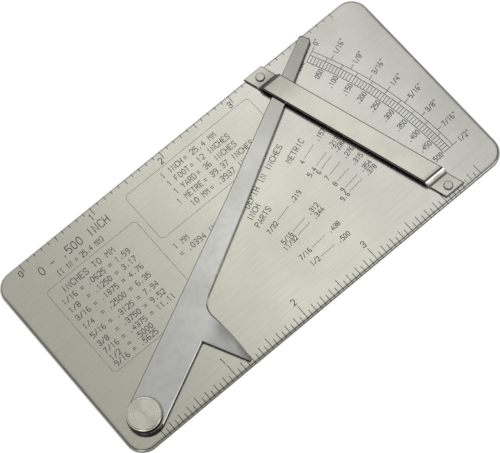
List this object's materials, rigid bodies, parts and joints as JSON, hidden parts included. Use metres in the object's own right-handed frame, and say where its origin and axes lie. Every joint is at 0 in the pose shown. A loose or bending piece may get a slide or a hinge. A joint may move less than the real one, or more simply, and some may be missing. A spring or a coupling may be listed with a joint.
{
  "type": "pit depth gauge",
  "caption": "Flat steel pit depth gauge: a plate with inch scales on its long edges, a pivoting pointer arm with a measuring spur, an engraved depth dial and a riveted guide strap.",
  "frame": {"origin": "middle of the plate's back face", "axes": "+X along the plate away from the pivot, +Y towards the edge with the tenths scale, +Z out of the graduated face"},
  "size_m": [0.1334, 0.0664, 0.0045],
  "materials": {
    "plate_steel": "satin, brushed along its length",
    "arm_steel": "satin, brushed along its length",
    "strap_steel": "fine satin",
    "pivot_steel": "turned",
    "rivet_steel": "bright satin"
  },
  "bodies": {
    "plate": {"base_plate": "plate_steel", "guide_strap": "strap_steel", "pivot_rivet": "pivot_steel", "upper_strap_rivet": "rivet_steel", "lower_strap_rivet": "rivet_steel"},
    "arm": {"pointer_arm": "arm_steel"}
  },
  "joints": [
    {"name": "arm_pivot", "type": "hinge", "parent": "plate", "child": "arm", "pos_m": [-0.05785, -0.0246, 0.00225], "axis": [0, 0, -1], "range_deg": [0, 26]}
  ]
}
